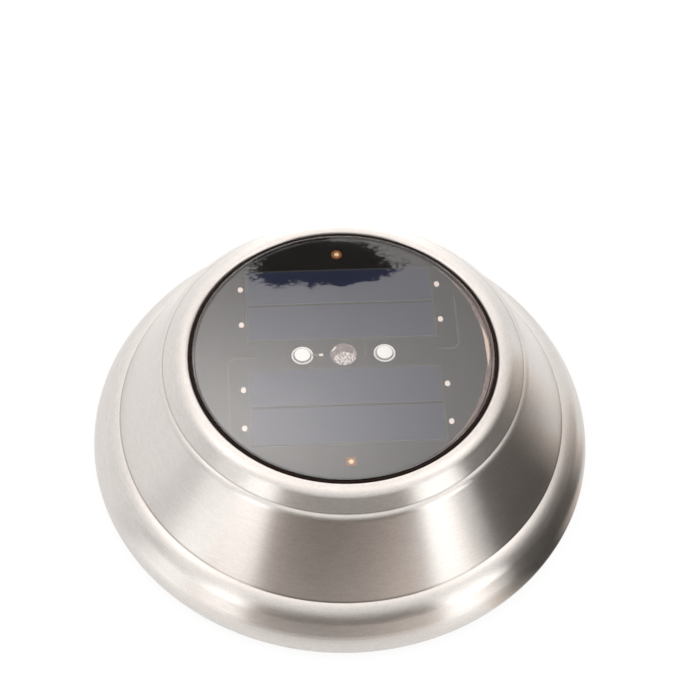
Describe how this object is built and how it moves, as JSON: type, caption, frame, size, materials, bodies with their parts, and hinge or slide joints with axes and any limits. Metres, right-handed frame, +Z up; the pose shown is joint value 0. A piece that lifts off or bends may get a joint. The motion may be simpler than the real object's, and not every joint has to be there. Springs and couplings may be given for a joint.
{
  "type": "solar path light",
  "caption": "Low round outdoor solar light: a brushed steel, bell-shaped shell round a clear lens, solar panel and white lamps, with a socket below for a stake.",
  "frame": {"origin": "centre of the face that the light rests on, under the shell's rolled rim", "axes": "+Z up through the lens; +X to the right and +Y away from the viewer, with the solar cells running along X and the battery door towards +Y"},
  "size_m": [0.1462, 0.1462, 0.0429],
  "materials": {
    "shell_steel": "brushed round the axis",
    "gasket_rubber": "matte black",
    "lens_clear": "clear polycarbonate",
    "panel_board": "black solder mask",
    "cell_silicon": "dark blue-grey silicon",
    "solder": "bright solder",
    "eyelet_copper": "copper ring",
    "led_resin": "milky resin",
    "bezel_white": "white ring",
    "pipe_clear": "clear, crinkled top",
    "sensor_resin": "dark resin",
    "control_green": "green solder mask",
    "chip_black": "moulded",
    "ferrite": "sintered",
    "coil_copper": "enamelled wire",
    "capacitor_sleeve": "sleeved",
    "screw_steel": "zinc plated",
    "moulded_black": "fine grain",
    "seal_rubber": "matte",
    "foam_black": "closed-cell foam",
    "battery_can": "plain printed sleeve",
    "contact_nickel": "nickel plated",
    "switch_plastic": "moulded",
    "lead_red": "insulation",
    "lead_black": "insulation",
    "lead_white": "insulation"
  },
  "bodies": {
    "light": {"steel_shell": "shell_steel", "lens_gasket": "gasket_rubber", "clear_lens": "lens_clear", "solar_board": "panel_board", "solar_cell_1": "cell_silicon", "solar_cell_2": "cell_silicon", "solar_cell_3": "cell_silicon", "solar_cell_4": "cell_silicon", "cell_joints": "solder", "terminal_eyelets": "eyelet_copper", "terminal_solder": "solder", "led_left": "led_resin", "led_right": "led_resin", "led_bezels": "bezel_white", "light_pipe": "pipe_clear", "light_sensor": "sensor_resin", "control_board": "control_green", "driver_chip": "chip_black", "inductor_core": "ferrite", "inductor_coil": "coil_copper", "capacitor": "capacitor_sleeve", "control_board_screws": "screw_steel", "lamp_housing": "moulded_black", "housing_seal": "seal_rubber", "base_plate": "moulded_black", "housing_screws": "screw_steel", "battery": "battery_can", "positive_contact": "contact_nickel", "negative_contact": "contact_nickel", "switch_body": "switch_plastic", "switch_screws": "screw_steel", "panel_lead_red": "lead_red", "panel_lead_black": "lead_black", "battery_lead_red": "lead_red", "battery_lead_black": "lead_black", "switch_lead_left": "lead_white", "switch_lead_right": "lead_white"},
    "switch": {"switch_knob": "switch_plastic"},
    "door": {"battery_door": "moulded_black", "door_seal": "seal_rubber", "door_pad": "foam_black", "door_screws": "screw_steel"}
  },
  "joints": [
    {"name": "switch_slide", "type": "slide", "parent": "light", "child": "switch", "axis": [1, 0, 0], "range_m": [0, 0.0025]},
    {"name": "door_lift_off", "type": "slide", "parent": "light", "child": "door", "axis": [0, 0, -1], "range_m": [0, 0.03]}
  ]
}
